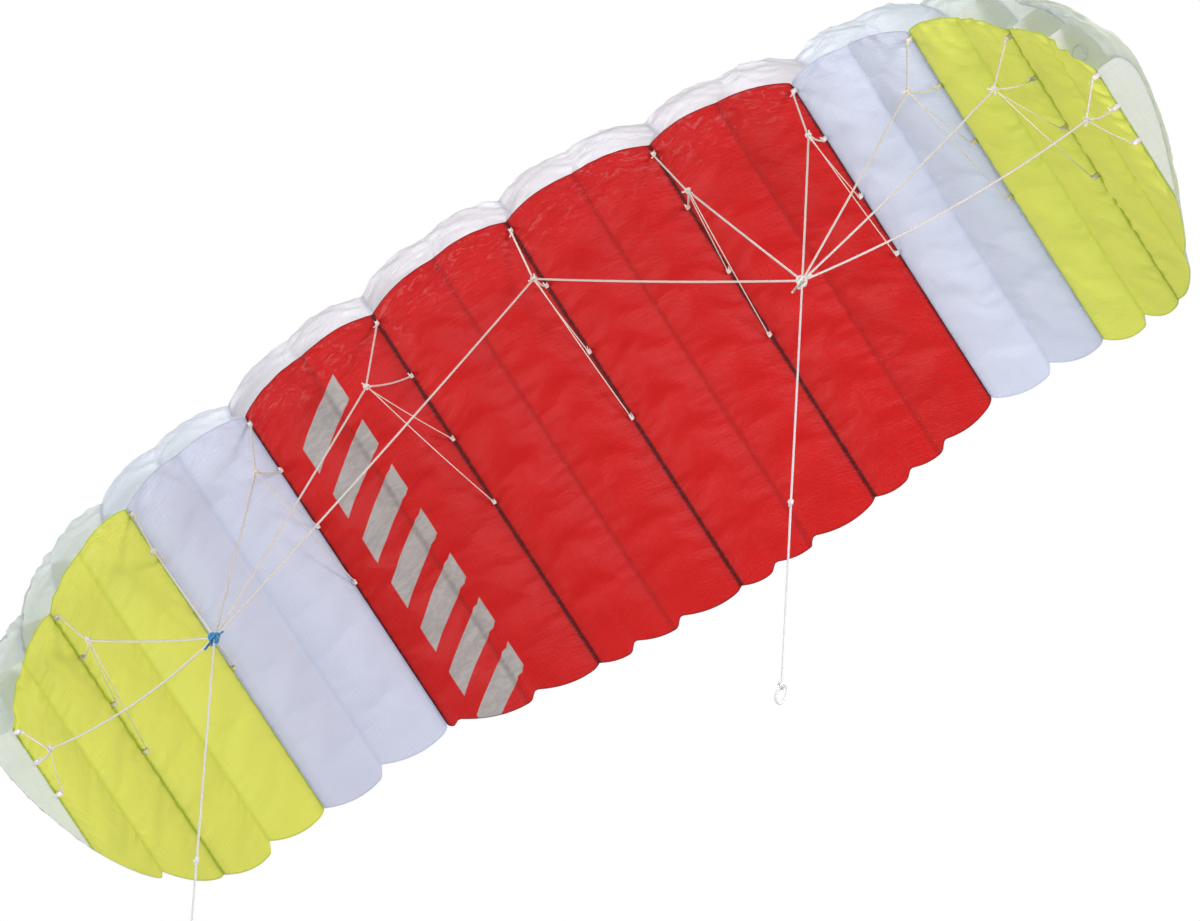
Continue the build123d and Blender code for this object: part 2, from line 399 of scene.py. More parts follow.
def cloth_material(name, colour, seam_colour, glow, print_colour=None, see_through=0.30):
    """Coated ripstop: fine grid weave, crinkles, stitched seams, light passing through."""
    material, tree = node_material(name)
    link = tree.links.new
    span, chord, share = (attribute(tree, key) for key in ("span", "chord", "share"))
    place = tree.nodes.new("ShaderNodeCombineXYZ")
    link(span, place.inputs[0])
    link(chord, place.inputs[1])
    grid, weave = woven(tree, span, chord)

    # soft crinkles, longer across the span than along the chord, and strongest near the nose
    stretched = tree.nodes.new("ShaderNodeVectorMath")
    stretched.operation = "MULTIPLY"
    link(place.outputs[0], stretched.inputs[0])
    stretched.inputs[1].default_value = (0.45, 1.0, 1.0)
    noise = add_node(tree, "ShaderNodeTexNoise", Scale=120.0, Detail=5.0, Roughness=0.66, Distortion=1.4)
    link(stretched.outputs[0], noise.inputs["Vector"])
    crinkle = noise.outputs["Fac"]
    patches = add_node(tree, "ShaderNodeTexNoise", Scale=16.0, Detail=2.0, Roughness=0.5)
    link(place.outputs[0], patches.inputs["Vector"])

    # seams at the loaded ribs with painted shade beside them and stitches, softer ones at the others, a
    # hem
    loaded = attribute(tree, "to_loaded")
    uneven = times(tree, math_node(tree, "SUBTRACT", crinkle, 0.5), 0.004)
    seam = ramp(tree, plus(tree, loaded, uneven), 0.0006, 0.0042, 1.0, 0.0)
    painted_seam_shade = ramp(tree, loaded, 0.002, 0.017, 1.0, 0.0)
    soft_seam = ramp(tree, attribute(tree, "to_odd"), 0.0004, 0.0055, 1.0, 0.0)
    stitch_cycle = math_node(tree, "FRACT", times(tree, chord, STITCHES))
    stitch_row = ramp(tree, loaded, 0.0028, 0.0036, 1.0, 0.0)
    stitch = times(tree, ramp(tree, stitch_cycle, 0.55, 0.7), stitch_row)
    hem = ramp(tree, attribute(tree, "to_edge"), 0.0008, 0.0022, 1.0, 0.0)

    base = tinted(tree, patches.outputs["Fac"], shade(colour, 0.93), shade(colour, 1.05))
    base = tinted(tree, times(tree, grid, 0.10), base, shade(colour, 0.7))
    # painted highlights: the crinkles are lightened, most of all near the open nose
    painted_crinkle_highlight = times(tree, ramp(tree, crinkle, 0.53, 0.66), ramp(tree, share, 0.02, 0.15, 0.42, 0.02))
    base = tinted(tree, painted_crinkle_highlight, base, tuple(0.80 * c + 0.20 for c in colour))
    light_through = tinted(tree, seam, glow, seam_colour)
    if print_colour:
        printed = stripe_mask(tree, span, chord)
        # the silver print, darker in the crinkles' hollows and lighter on their crests: painted shade and
        # highlights
        silver_with_painted_shade = tinted(tree, ramp(tree, crinkle, 0.40, 0.62),
                        shade(print_colour, 0.86), shade(print_colour, 1.10))
        base = tinted(tree, printed, base, silver_with_painted_shade)
        light_through = tinted(tree, printed, light_through, shade(print_colour, 0.8))
    # painted shade: the cloth darkened within 17 mm either side of each loaded seam, where it dives into
    # the seam
    base = tinted(tree, times(tree, painted_seam_shade, 0.22), base, shade(colour, 0.45))
    for line, strength in ((soft_seam, 0.34), (seam, 0.88), (hem, 0.7)):
        base = tinted(tree, times(tree, line, strength), base, seam_colour)

    height = times(tree, crinkle, ramp(tree, share, 0.0, 0.17, 1.0, 0.30))
    for pattern, strength in ((grid, 0.05), (weave, 0.012), (stitch, 0.25)):
        height = plus(tree, height, times(tree, pattern, strength))
    bump = add_node(tree, "ShaderNodeBump", Strength=0.75, Distance=0.0036)
    link(height, bump.inputs["Height"])

    body = add_node(tree, "ShaderNodeBsdfPrincipled", Roughness=0.40)
    body.inputs["Specular IOR Level"].default_value = 0.34
    body.inputs["Sheen Weight"].default_value = 0.05
    link(base, body.inputs["Base Color"])
    link(bump.outputs[0], body.inputs["Normal"])
    through = tree.nodes.new("ShaderNodeBsdfTranslucent")
    link(light_through, through.inputs["Color"])
    link(bump.outputs[0], through.inputs["Normal"])
    mixed = tree.nodes.new("ShaderNodeMixShader")
    mixed.inputs[0].default_value = see_through
    link(body.outputs[0], mixed.inputs[1])
    link(through.outputs[0], mixed.inputs[2])
    output = tree.nodes.new("ShaderNodeOutputMaterial")
    link(mixed.outputs[0], output.inputs["Surface"])
    return material


STRIPE_SPAN = -0.315  # the bands' slant is counted from here
STRIPE_SLANT = 0.55
STRIPE_PITCH = 0.060


def stripe_mask(tree, span, chord):
    """Plain slanted bands printed across the bay between the second and fourth rib on the left."""
    across = plus(tree, span, -STRIPE_SPAN)
    slanted = plus(tree, chord, times(tree, across, STRIPE_SLANT))
    cycle = math_node(tree, "FRACT", math_node(tree, "DIVIDE", slanted, STRIPE_PITCH))
    band = ramp(tree, distance_from(tree, cycle, 0.5), 0.268, 0.285, 1.0, 0.0)
    inside = ramp(tree, distance_from(tree, across, 0.026), 0.0370, 0.0378, 1.0, 0.0)
    length = ramp(tree, distance_from(tree, slanted, 0.270), 0.2096, 0.2100, 1.0, 0.0)
    return times(tree, band, times(tree, inside, length))


def cord_material(name, colour, dark, scale=900.0):
    """Braided line: fine strands round the cord."""
    material, tree = node_material(name)
    link = tree.links.new
    place = tree.nodes.new("ShaderNodeTexCoord")
    strands = add_node(tree, "ShaderNodeTexNoise", Scale=scale, Detail=3.0, Roughness=0.6)
    link(place.outputs["Object"], strands.inputs["Vector"])
    body = add_node(tree, "ShaderNodeBsdfPrincipled", Roughness=0.6)
    body.inputs["Sheen Weight"].default_value = 0.2
    tint = tinted(tree, ramp(tree, strands.outputs["Fac"], 0.35, 0.6), dark, colour)
    link(tint, body.inputs["Base Color"])
    bump = add_node(tree, "ShaderNodeBump", Strength=0.5, Distance=0.0003)
    link(strands.outputs["Fac"], bump.inputs["Height"])
    link(bump.outputs[0], body.inputs["Normal"])
    output = tree.nodes.new("ShaderNodeOutputMaterial")
    link(body.outputs[0], output.inputs["Surface"])
    return material


# each cloth's colour, its seams' colour and the colour of light through it
RED = cloth_material("red_cloth", (0.60, 0.007, 0.010), (0.06, 0.002, 0.003), (0.80, 0.020, 0.005),
                     print_colour=(0.50, 0.48, 0.45))
WHITE = cloth_material("white_cloth", (0.74, 0.78, 0.90), (0.48, 0.53, 0.70), (0.74, 0.80, 0.94))
YELLOW = cloth_material("yellow_cloth", (0.93, 0.98, 0.17), (0.42, 0.56, 0.02), (0.94, 0.99, 0.14),
                        see_through=0.36)
UPPER = cloth_material("upper_cloth", (0.84, 0.89, 0.95), (0.66, 0.72, 0.84), (0.86, 0.93, 0.98),
                       see_through=0.55)
RIB_CLOTH = cloth_material("rib_cloth", (0.88, 0.91, 0.97), (0.66, 0.71, 0.82), (0.93, 0.96, 1.0),
                           see_through=0.58)
CREAM = cord_material("cream_line", (0.90, 0.86, 0.78), (0.62, 0.56, 0.48))
PALE = cord_material("pale_flying_line", (0.88, 0.88, 0.86), (0.60, 0.60, 0.60))
BLUE = cord_material("blue_line", (0.04, 0.33, 0.62), (0.01, 0.10, 0.26))
WEBBING = cord_material("white_webbing", (0.88, 0.85, 0.80), (0.64, 0.60, 0.56), scale=500.0)


# ---------------------------------------------------------------- lines and knots
def place_lines(name, parts, body, material, node):
    """Swept lines and knots as one piece, which stands for one CAD node and moves with one body."""
    made = mesh_object(name, *joined(parts), material)
    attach(made, body)
    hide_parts(node)
    return made


def body_at(place):
    return "canopy" if abs(place) <= FOLD_RIB else f"tip_{SIDES[side_of(place)]}"


def tab_shares(place):
    return TIP_TAB_SHARES if abs(place) == CELLS else TAB_SHARES


TAB_DEPTH = 0.0083


def tab_points(place):
    """Where lines are tied to one rib's tabs."""
    corner, up, chord, _ = RIBS[place]
    return [corner + share * chord * Y_AXIS - TAB_DEPTH * up for share in tab_shares(place)]


ROWS = "abcd"  # the bridle's rows, counted from the leading edge
ROW_SLACK = (0.0004, 0.006, 0.0035, 0.005)
LONG_ROWS = (2, 3)  # at most 40 cords can be declared, so of the cascades only the longer lines are


def cord_of(path, length=None):
    """The length of a line's path, unless a length is given; the length is not kept."""
    if length is None:
        length = float(np.linalg.norm(np.diff(path, axis=0), axis=1).sum())


def cascade(place, word):
    """The lines from one rib's tabs to the knot that gathers them, and their knots."""
    knot, aim = gather_point(place), gather_aim(place)
    beside = unit(np.cross(aim, Y_AXIS)) * 0.0007  # so that the lines leave the knot side by side
    turn = abs(place) + (3 if place < 0 else 0)  # so that no two knots' tails point the same way
    knots = [overhand(knot, aim, GATHER_KNOT, LINE_RADIUS,
                      tails=((0.6 + turn, 0.0085, 0.5), (2.9 + turn, 0.0070, 0.3)))]
    for order, foot in enumerate(tab_points(place)):
        radius = CASCADE_RADII[order]
        start = knot + beside * (1 if order % 2 else -1)
        path = sagging(start, foot, ROW_SLACK[order])
        line = place_lines(f"bridle_{ROWS[order]}_{word}", [sweep(path, radius)], body_at(place), CREAM,
                           f"bridle_cascade_{word}")
        if order in LONG_ROWS:
            cord_of(path)
        along = unit(foot - start)
        knots.append(overhand(foot - along * 0.004, along, TAB_KNOT, radius * 0.75,
                              tails=((order * 1.7, 0.0045, -0.4),)))
    place_lines(f"bridle_knots_{word}", knots, body_at(place), CREAM,
                f"bridle_cascade_{word}")


for place in range(-CELLS, CELLS + 1, 2):
    cascade(place, rib_word(place))


MAIN_SAG = {0: 0.0035, 2: 0.001, 4: 0.001, 6: 0.001, 8: 0.004, 10: 0.016}


def main_line(side, place):
    """A main bridle line from the tow knot to the knot of one rib."""
    path = sagging(TOW[side], gather_point(side * place), MAIN_SAG[place], drop=(0.0, 0.5, -1.0))
    made = mesh_object(f"bridle_main_{SIDES[side]}_{place}", *sweep(path, MAIN_RADIUS), CREAM)
    return made, path


def tow_knot(side):
    """Larks-head turns round the bridle's ends, with a loop and two short tails."""
    tow, down = TOW[side], line_down(side)
    parts = [overhand(tow, down, 0.0054, TOW_RADIUS),
             overhand(tow + 0.0028 * down, Y_AXIS, 0.0050, TOW_RADIUS)]
    first, _ = frame_about(down)
    t = np.linspace(0, 2 * pi, 49)
    loop = tow + down * 0.0140 + (0.0052 * np.sin(t))[:, None] * first \
        + (0.0088 * np.cos(t))[:, None] * -down
    parts.append(fine_sweep(loop, TOW_RADIUS * 0.85))
    for sign, length in ((1, 0.019), (-1, 0.022)):
        out = unit(first * 0.8 * sign + down * 0.35)
        elbow = tow + out * 0.006
        tip = elbow + unit(out + down * 0.6) * length * 0.55
        parts.append(fine_sweep([tow, elbow, tip], TOW_RADIUS * 0.85))
    return parts


for side, word in SIDES.items():
    for place in LOADED:
        made, path = main_line(side, place)
        if place <= FOLD_RIB:
            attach(made, "canopy")
            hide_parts(f"main_lines_{word}")
        else:
            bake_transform(made)
            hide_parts(f"main_line_{word}_{place}")
        cord_of(path)
    blue = side < 0
    place_lines(f"tied_tow_knot_{word}", tow_knot(side), "canopy", BLUE if blue else CREAM,
                f"tow_knot_{word}")

    down = line_down(side)
    joint = TOW[side] + down * LEADER_LENGTH
    end = joint + down * FLYING_LENGTH
    leader_path = sagging(TOW[side] + down * LEADER_START, joint, LINE_SLACK)
    leader = place_lines(f"leader_cord_{word}", [sweep(leader_path, LINE_RADIUS)], f"leader_{word}",
                         PALE, f"leader_{word}")
    knot = overhand(joint, down, LEADER_KNOT, LINE_RADIUS,
                    tails=((0.7, 0.006, 0.8), (3.6, 0.005, 0.6)))
    knot_piece = place_lines(f"tied_leader_knot_{word}", [knot], f"leader_{word}",
                             PALE, f"leader_knot_{word}")
    cord_of(leader_path, LEADER_LENGTH - LEADER_START)
    flying_path = sagging(joint, end, LINE_SLACK)
    flying = place_lines(f"flying_cord_{word}", [sweep(flying_path, LINE_RADIUS)], f"line_{word}",
                         PALE, f"flying_line_{word}")
    across = np.array((-down[2], 0.0, down[0]))
    t = np.linspace(0, 2 * pi, 65)
    loop = end + down * 0.0265 + (0.0056 * np.sin(t) * (1 + 0.25 * np.cos(t)))[:, None] * across \
        - (0.0225 * np.cos(t))[:, None] * down
    knot = overhand(end, down, END_KNOT, LINE_RADIUS, tails=((1.1, 0.009, 0.5),))
    loop_piece = place_lines(f"tied_end_loop_{word}", [knot, sweep(loop, LINE_RADIUS)], f"line_{word}",
                             PALE, f"end_loop_{word}")
    cord_of(flying_path, FLYING_LENGTH)


# ---------------------------------------------------------------- the skins' shape
def spline_weights(knots, samples):
    """Natural cubic spline through values at the knots, as weights of those values."""
    knots = np.asarray(knots, float)
    count = len(knots)
    gaps = np.diff(knots)
    left, right = np.zeros((count, count)), np.zeros((count, count))
    left[0, 0] = left[-1, -1] = 1.0
    for k in range(1, count - 1):
        left[k, k - 1:k + 2] = gaps[k - 1], 2 * (gaps[k - 1] + gaps[k]), gaps[k]
        right[k, k - 1] = 6 / gaps[k - 1]
        right[k, k] = -6 / gaps[k - 1] - 6 / gaps[k]
        right[k, k + 1] = 6 / gaps[k]
    bend = np.linalg.solve(left, right)
    made = np.zeros((len(samples), count))
    for row, at in enumerate(samples):
        k = min(max(int(np.searchsorted(knots, at)) - 1, 0), count - 2)
        h = gaps[k]
        b, a = (at - knots[k]) / h, (knots[k + 1] - at) / h
        made[row, k] += a
        made[row, k + 1] += b
        made[row] += ((a ** 3 - a) * bend[k] + (b ** 3 - b) * bend[k + 1]) * h * h / 6
    return made


def leading_edge(u):
    """How far back the lower skin's open edge stands: one arch to each bay of two cells."""
    bay = min(int(abs(u) / 2), CELLS // 2 - 1)
    t = abs(u) / 2 - bay
    y = [RIBS[side_of(u) * k][0][1] for k in (2 * bay, 2 * bay + 1, 2 * bay + 2)]
    rise = (y[0] + y[2]) / 2 - y[1]
    return y[0] + (y[2] - y[0]) * t - rise * (1 - abs(2 * t - 1) ** 2.5)


# places along a bay where the sewn tail steps, by how much, and how far the cloth arches between
TAIL_STEPS = {-5: (0.5,), -4: (0.5,), -3: (0.5,), -2: (0.07, 0.56), -1: (0.25, 0.57), 0: (0.23, 0.52),
              1: (0.26, 0.55), 2: (0.5,), 3: (0.5,), 4: (0.5,)}
TAIL_STEP = 0.0105
TAIL_START, TAIL_FINISH = -0.0010, 0.0015
TAIL_ARCH = 0.018


def trailing_edge(u):
    """Extra length of the cloth at the tail: an arch between steps, with a notch at each step."""
    bay = int(np.floor(min(u, CELLS - 1e-4) / 2))
    t = u / 2 - bay
    stops = [0.0, *TAIL_STEPS[bay], 1.0]
    k = max(i for i in range(len(stops) - 1) if stops[i] <= t + 1e-9)
    width = stops[k + 1] - stops[k]
    s = (t - stops[k]) / width
    start = -TAIL_STEP / 2 if k else TAIL_START
    finish = TAIL_STEP / 2 if k < len(stops) - 2 else TAIL_FINISH
    return start + (finish - start) * s + TAIL_ARCH * width * 4 * s * (1 - s)


def cell_frame(u):
    """How full the cell stands at u, its corner, up, chord and height there, and the way out of it."""
    cell = int(min(max(np.floor(u), -CELLS), CELLS - 1))
    s = u - cell
    corner, up, chord, height = (here + (beyond - here) * s
                                 for here, beyond in zip(RIBS[cell], RIBS[cell + 1]))
    across = unit((RIBS[cell + 1][0] - RIBS[cell][0]) * np.array((1.0, 0.0, 1.0)))
    normal = np.array((-across[2], 0.0, across[0]))
    return 4 * s * (1 - s), corner, unit(up), chord, height, normal


FULLEST = 0.36  # where along the chord the lower skin bulges most
FULL_AHEAD = 0.46  # the bulge's reach forward of that, past the open edge, which so keeps some fullness


def lower_column(u, shares):
    """Points of the lower skin from its open edge to the tail, u cells from the centre rib."""
    swell, corner, _, chord, _, normal = cell_frame(u)
    tail = corner[1] + chord + trailing_edge(u)
    front = leading_edge(u) - NOSE_FORWARD * swell
    across = np.where(shares < FULLEST, FULL_AHEAD, 1 - FULLEST)
    bulge = BALLOON * swell * (1 - ((shares - FULLEST) / across) ** 2)
    column = np.zeros((len(shares), 3))
    column[:] = corner
    column[:, 1] = front + (tail - front) * shares
    return column - bulge[:, None] * normal


# the upper skin is a spline through five knots, from its lip over its crest to the tail
UPPER_KNOTS = (0.0, 0.085, 0.32, 0.65, 1.0)
UPPER_RISE = (0.5, 0.84, 1.0, 0.66, 0.0)  # to one of the rib's height
UPPER_PUFF = (0.0, 0.8, 1.0, 0.8, 0.0)
TAIL_RISE = 0.0012  # the two skins lie on each other there


def upper_column(u, weights):
    """Points of the upper skin from its lip to the tail, u cells from the centre rib."""
    full, corner, up, chord, height, normal = cell_frame(u)
    swell = BALLOON * full
    aft = np.array((-0.035 * chord - 0.6 * swell, 0.03 * chord - 0.6 * swell, 0.28 * chord, 0.62 * chord,
                    chord + trailing_edge(u)))
    rise = np.array(UPPER_RISE) * height
    rise[-1] = TAIL_RISE
    puff = np.array(UPPER_PUFF) * swell
    aft, rise, puff = weights @ aft, weights @ rise, weights @ puff
    shift = (leading_edge(u) - corner[1]) * np.clip(1 - aft / (0.3 * chord), 0, 1)
    return corner + (aft + shift)[:, None] * Y_AXIS + rise[:, None] * up + puff[:, None] * normal


rng = np.random.default_rng(11)


def ripples(span, chord, count, wave, along):
    """Smooth seeded unevenness, about 1 either way, its ridges running mostly across the chord."""
    total = np.zeros_like(span)
    for _ in range(count):
        length = wave * rng.uniform(0.7, 1.6)
        angle = rng.normal(0, along)
        k = 2 * pi / length
        total += np.sin(k * (chord * cos(angle) + span * sin(angle)) + rng.uniform(0, 2 * pi))
    return total / np.sqrt(count)


# each column of cloth, in cells from the middle
US = np.linspace(-CELLS, CELLS, 2 * CELLS * COLUMNS + 1)
LOWER_SHARES = np.linspace(0, 1, LOWER_ROWS)
UPPER_SHARES = np.linspace(0, 1, UPPER_ROWS) ** 1.25
UPPER_WEIGHTS = spline_weights(UPPER_KNOTS, UPPER_SHARES)


def skin_points(column):
    return np.array([column(u) for u in US])


def measures(points, shares):
    """Per-vertex distances for the cloth's finish: along the span and chord, to seams and edges."""
    width = np.linalg.norm(np.diff(points, axis=1), axis=2)
    chord = np.concatenate([np.zeros((len(US), 1)), np.cumsum(width, axis=1)], axis=1)
    span = np.repeat((US * CELL_WIDTH)[:, None], len(shares), axis=1)
    near_loaded = np.abs(US / 2 - np.round(US / 2)) * 2 * CELL_WIDTH
    near_odd = np.abs((US - 1) / 2 - np.round((US - 1) / 2)) * 2 * CELL_WIDTH
    wide = np.ones((1, len(shares)))
    return {"span": span, "chord": chord, "share": np.repeat(shares[None], len(US), axis=0),
            "to_loaded": near_loaded[:, None] * wide, "to_odd": near_odd[:, None] * wide,
            "to_edge": np.minimum(chord, chord[:, -1:] - chord)}


PUCKER_LIFT, SLACK_LIFT, FINE_LIFT = 0.0009, 0.0006, 0.0013
TIP_GAIN = 1.1  # the tips' cloth is this much more uneven
FLAT_TAIL = 0.12  # the last share of the chord, where the unevenness dies out


def wrinkled(points, facts, outward):
    """Puckers along the sewn seams and slack ripples in the cloth between them."""
    span, chord = facts["span"], facts["chord"]
    near = np.minimum(facts["to_loaded"], facts["to_odd"])
    open_cloth = np.clip(near / 0.012, 0, 1)
    pucker = ripples(span * 0.3, chord, 5, 0.019, 0.2) * np.exp(-((near - 0.009) / 0.010) ** 2)
    slack = ripples(span, chord, 7, 0.050, 0.5) * open_cloth
    fine = ripples(span, chord, 9, 0.017, 0.7) * open_cloth * np.exp(-facts["share"] / 0.09)
    tips = 1 + TIP_GAIN * np.clip((np.abs(span) - FOLD_RIB * CELL_WIDTH) / 0.2, 0, 1)
    free = np.clip((1 - facts["share"]) / FLAT_TAIL, 0, 1)
    lift = free * tips * (PUCKER_LIFT * pucker + SLACK_LIFT * slack + FINE_LIFT * fine)
    return points + (lift * np.clip(near / 0.004, 0, 1))[..., None] * outward


def outward_normals(points, sign):
    along = np.gradient(points, axis=1)
    across = np.gradient(points, axis=0)
    normal = np.cross(across, along)
    normal /= np.linalg.norm(normal, axis=2)[..., None] + 1e-12
    return normal * sign


lower = skin_points(lambda u: lower_column(u, LOWER_SHARES))
upper = skin_points(lambda u: upper_column(u, UPPER_WEIGHTS))
lower_facts, upper_facts = measures(lower, LOWER_SHARES), measures(upper, UPPER_SHARES)
lower = wrinkled(lower, lower_facts, outward_normals(lower, -1))
upper = wrinkled(upper, upper_facts, outward_normals(upper, 1))


CLOTH_FRAMES = 22
CLOTH_PRESSURE = 0.5
CLOTH_SLACK = 0.013
HEM_HOLD = 0.35  # how firmly the taped hem holds its line
SEWN_FLAT = 0.16  # the last share of the chord, where the two skins close on each other


def settled_cloth(points, shares, pressure):
    """Lets the cloth fill with air: sewn at every rib and at the tail, cut a little slack between."""
    index, faces = grid_faces(*points.shape[:2])
    work = mesh_object("cloth_work", points.reshape(-1, 3), faces)
    sewn = work.vertex_groups.new(name="sewn")
    on_rib = np.arange(len(index)) % COLUMNS == 0
    sewn.add(sorted(set(index[on_rib].ravel().tolist()) | set(index[:, -1].tolist())), 1.0, "REPLACE")
    sewn.add(index[~on_rib, 0].tolist(), HEM_HOLD, "REPLACE")
    cloth = work.modifiers.new("cloth", "CLOTH")
    settings = cloth.settings
    settings.quality = 6
    settings.mass = 0.03
    settings.air_damping = 3.0
    settings.tension_stiffness, settings.compression_stiffness = 25.0, 14.0
    settings.shear_stiffness, settings.bending_stiffness = 8.0, 0.35
    settings.vertex_group_mass = "sewn"
    settings.shrink_min = -CLOTH_SLACK
    settings.use_pressure = True
    settings.uniform_pressure_force = pressure
    settings.effector_weights.gravity = 0.0
    cloth.collision_settings.use_collision = False
    cloth.point_cache.frame_end = CLOTH_FRAMES
    for step in range(1, CLOTH_FRAMES + 1):
        bpy.context.scene.frame_set(step)
    data = work.evaluated_get(bpy.context.evaluated_depsgraph_get()).to_mesh()
    flat = np.zeros(len(data.vertices) * 3)
    data.vertices.foreach_get("co", flat)
    bpy.data.objects.remove(work)
    bpy.context.scene.frame_set(1)
    free = np.clip((1 - shares) / SEWN_FLAT, 0, 1)[None, :, None]
    return points + (flat.reshape(points.shape) - points) * free


lower = settled_cloth(lower, LOWER_SHARES, -CLOTH_PRESSURE)
upper = settled_cloth(upper, UPPER_SHARES, CLOTH_PRESSURE)


def columns_between(first, last):
    return (first + CELLS) * COLUMNS, (last + CELLS) * COLUMNS


def skin_piece(name, points, facts, first, last, material):
    """The cloth between two ribs as one mesh, smoothed, creased at its seams."""
    a, b = columns_between(first, last)
    block = points[a:b + 1]
    made = mesh_object(name, block.reshape(-1, 3), grid_faces(*block.shape[:2])[1], material)
    data = made.data
    store_facts(data, {key: values[a:b + 1] for key, values in facts.items()})
    creases = np.zeros(len(data.edges), np.float32)
    ends = np.zeros(len(data.edges) * 2, int)
    data.edges.foreach_get("vertices", ends)
    columns = ends.reshape(-1, 2) // block.shape[1]
    on_rib = (columns[:, 0] == columns[:, 1]) & ((columns[:, 0] + a) % COLUMNS == 0)
    loaded = (columns[:, 0] + a) % (2 * COLUMNS) == 0
    creases[on_rib] = 0.55
    creases[on_rib & loaded] = 1.0
    data.attributes.new("crease_edge", "FLOAT", "EDGE").data.foreach_set("value", creases)
    finer = made.modifiers.new("finer", "SUBSURF")
    finer.levels = finer.render_levels = 1
    settled = bpy.data.meshes.new_from_object(made.evaluated_get(bpy.context.evaluated_depsgraph_get()))
    made.modifiers.clear()
    made.data = settled
    settled.name = name
    settled.polygons.foreach_set("use_smooth", [True] * len(settled.polygons))
    return made


def bend_with_tip(piece):
    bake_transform(piece)


def place_skin(name, skin, ends, material, node, side=0):
    """One panel of a skin. The centre panel moves with the canopy; a panel of the left or right side has
    its transform baked and moves with no body.
    """
    points, facts = skin
    first, last = (-ends[1], -ends[0]) if side < 0 else ends
    piece = skin_piece(name, points, facts, first, last, material)
    if side:
        bend_with_tip(piece)
    else:
        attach(piece, "canopy")
    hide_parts(node)


LOWER_SKIN, UPPER_SKIN = (lower, lower_facts), (upper, upper_facts)
place_skin("skin_red", LOWER_SKIN, (-4, 4), RED, "lower_skin_red")
place_skin("skin_upper_center", UPPER_SKIN, (-4, 4), UPPER, "upper_skin_center")
for side, word in SIDES.items():
    place_skin(f"skin_white_{word}", LOWER_SKIN, (4, 6), WHITE,
               f"lower_skin_white_{word}", side)
    place_skin(f"skin_yellow_{word}", LOWER_SKIN, (6, 10), YELLOW,
               f"lower_skin_yellow_{word}", side)
    place_skin(f"skin_upper_{word}", UPPER_SKIN, (4, 10), UPPER,
               f"upper_skin_{word}_tip", side)


# ---------------------------------------------------------------- ribs
# crossports: share aft, share of the height, radius to one of the height
PORTS = ((0.12, 0.42, 0.17), (0.34, 0.5, 0.24), (0.57, 0.38, 0.17))
RIB_END = 0.97
RIB_GAP = 0.0008  # between a rib and the skins
PORT_SNAP = 0.18  # cloth this near a port's edge, to one of its radius, is moved to the edge
PORT_TAPE = 0.0009  # the tape's radius, drawn as a thin roll
SEAMLESS = 0.02  # far enough from any seam for none to show


def rib_grid(place):
    """A rib's cloth as a grid of points, with its columns' places aft, lowest and highest levels."""
    column = (place + CELLS) * COLUMNS
    corner, up, chord, _ = RIBS[place]
    bottom, top = lower[column], upper[column]
    ys = corner[1] + chord * np.linspace(0.0, RIB_END, 90)
    low = np.interp(ys, bottom[:, 1], bottom @ up) + RIB_GAP
    order = np.argsort(top[:, 1])
    high = np.interp(ys, top[order, 1], (top @ up)[order]) - RIB_GAP
    high = np.maximum(high, low + RIB_GAP / 2)
    levels = low[:, None] + (high - low)[:, None] * np.linspace(0, 1, 19)
    grid = corner + (ys - corner[1])[:, None, None] * Y_AXIS + (levels - corner @ up)[..., None] * up
    return grid, ys, low, high


def rib_sheet(place):
    """One cloth rib, with the tape round its crossports, its cut size and area."""
    corner, up, chord, height = RIBS[place]
    base_level = corner @ up
    grid, ys, low, high = rib_grid(place)
    ports = [(corner[1] + aft * chord, base_level + rise * height, radius * height)
             for aft, rise, radius in PORTS] if abs(place) < CELLS else []
    flat = grid.reshape(-1, 3)
    y, z = flat[:, 1].copy(), flat @ up
    inside = np.zeros(len(flat), bool)
    tapes = []
    t = np.linspace(0, 2 * pi, 49)
    for port_y, port_z, radius in ports:
        away = np.hypot(y - port_y, z - port_z)
        near, far = radius * (1 - PORT_SNAP), radius * (1 + PORT_SNAP)
        inside |= away < near
        ring = (away >= near) & (away < far)
        scale = radius / np.maximum(away[ring], 1e-6)
        flat[ring, 1] = port_y + (y[ring] - port_y) * scale
        flat[ring] += ((port_z + (z[ring] - port_z) * scale) - flat[ring] @ up)[:, None] * up
        tape = corner + (port_y - corner[1] + radius * np.cos(t))[:, None] * Y_AXIS \
            + (port_z - base_level + radius * np.sin(t))[:, None] * up
        tapes.append(sweep(tape, PORT_TAPE, sides=8, depth=0.1))
    quads = [face for face in grid_faces(*grid.shape[:2])[1] if not inside[face].any()]
    length = float(ys[-1] - ys[0])
    cut = float((high - low).mean() * length - sum(pi * radius ** 2 for _, _, radius in ports))
    return flat, quads, tapes, (float((high - low).max()), length), cut


def seamless(made):
    """Ribs have no seams of their own, so their finish reads plain distances."""
    points = np.array([v.co for v in made.data.vertices])
    facts = {"span": points[:, 2], "chord": points[:, 1], "share": np.full(len(points), 0.5)}
    for key in ("to_loaded", "to_odd", "to_edge"):
        facts[key] = np.full(len(points), SEAMLESS)
    store_facts(made.data, facts)


def place_rib(name, place, vertices, faces):
    """Ribs at the fold have their transform baked and move with no body; the others move with their own
    body.
    """
    piece = mesh_object(name, vertices, faces, RIB_CLOTH)
    seamless(piece)
    if abs(abs(place) - FOLD_RIB) <= 1:
        bend_with_tip(piece)
    else:
        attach(piece, body_at(place))
    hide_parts(rib_node(place))
    return piece


for place in PLACES:
    flat, quads, tapes, size, cut = rib_sheet(place)
    cloth = place_rib(rib_node(place) + "_cloth", place, flat, quads)
    bindings = [place_rib(rib_node(place) + "_port_tape", place, *joined(tapes))] if tapes else []


